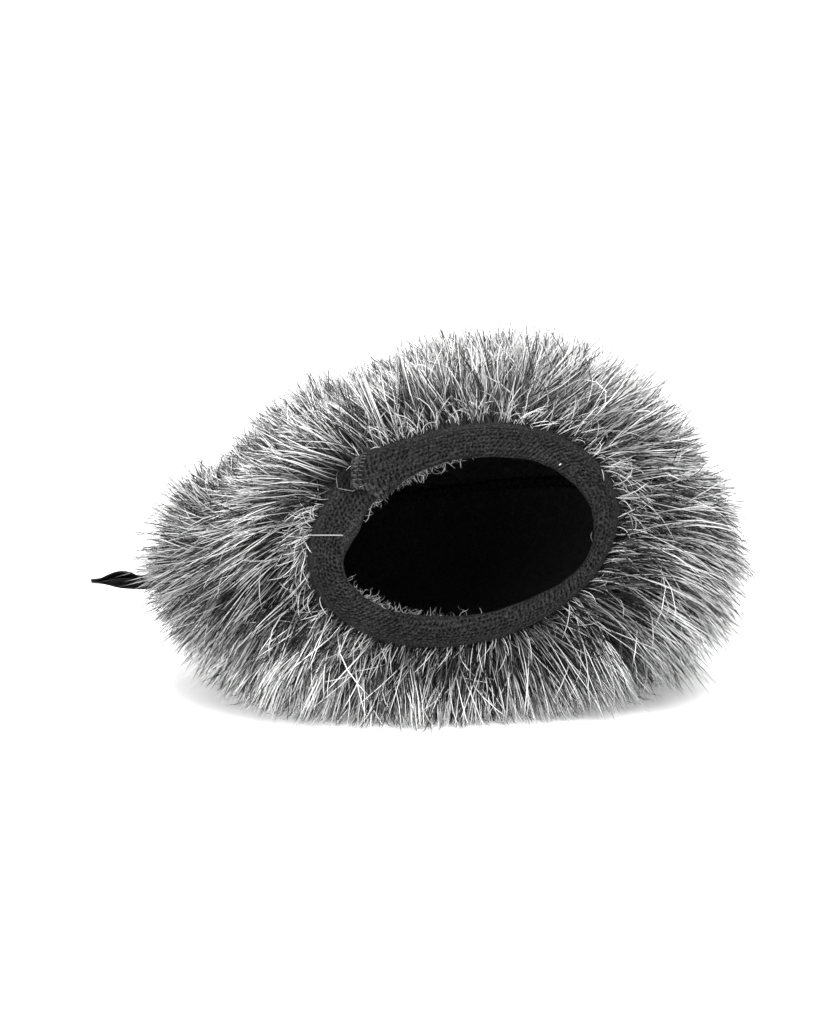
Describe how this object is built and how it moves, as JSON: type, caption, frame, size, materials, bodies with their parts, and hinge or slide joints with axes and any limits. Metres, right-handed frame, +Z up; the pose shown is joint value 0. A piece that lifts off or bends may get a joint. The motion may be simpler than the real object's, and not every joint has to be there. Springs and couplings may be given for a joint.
{
  "type": "furry windscreen",
  "caption": "Long-pile furry slip-on microphone windscreen: a foam-lined oval bag with an elastic-bound mouth and a folded ribbon tag in its side seam.",
  "frame": {"origin": "the middle of the bounding box, on the surface that the bag lies on", "axes": "+Z up, the mouth faces -Y, the closed end +Y, and +X is to the right of someone who looks into the mouth"},
  "size_m": [0.1629, 0.1236, 0.0914],
  "materials": {
    "fur_pile": "long straight acrylic pile, mixed black, grey and white, slightly glossy",
    "fur_backing": "matt black warp knit",
    "foam": "matt black open-cell polyurethane foam",
    "elastic_knit": "matt charcoal elastic knit tape",
    "sewing_thread": "twisted polyester thread, slightly glossy",
    "bartack_thread": "twisted grey polyester thread",
    "satin_ribbon": "black satin weave, glossy"
  },
  "bodies": {
    "lower_half": {"fur_pile_lower": "fur_pile", "fur_backing_lower": "fur_backing", "foam_liner_lower": "foam", "seam_allowance_lower": "fur_backing", "elastic_binding_lower": "elastic_knit", "binding_stitches_lower": "sewing_thread", "seam_bobbin_thread": "sewing_thread", "ribbon_tag_root": "satin_ribbon"},
    "upper_half": {"fur_pile_upper": "fur_pile", "fur_backing_upper": "fur_backing", "foam_liner_upper": "foam", "seam_allowance_upper": "fur_backing", "elastic_binding_upper": "elastic_knit", "binding_stitches_upper": "sewing_thread", "seam_needle_thread": "sewing_thread", "binding_end_lap": "elastic_knit", "lap_bartack": "bartack_thread"},
    "tag_loop": {"ribbon_tag": "satin_ribbon"}
  },
  "joints": [
    {"name": "mouth_stretch", "type": "hinge", "parent": "lower_half", "child": "upper_half", "pos_m": [0.00583, 0.06285, 0.03753], "axis": [-0.9925, 0, -0.1219], "range_deg": [0, 7], "stiffness_Nm_per_rad": 1.5},
    {"name": "tag_flip", "type": "hinge", "parent": "lower_half", "child": "tag_loop", "pos_m": [-0.06265, -0.00715, 0.02912], "axis": [0, 1, 0], "range_deg": [-38, 38], "stiffness_Nm_per_rad": 0.0005}
  ]
}
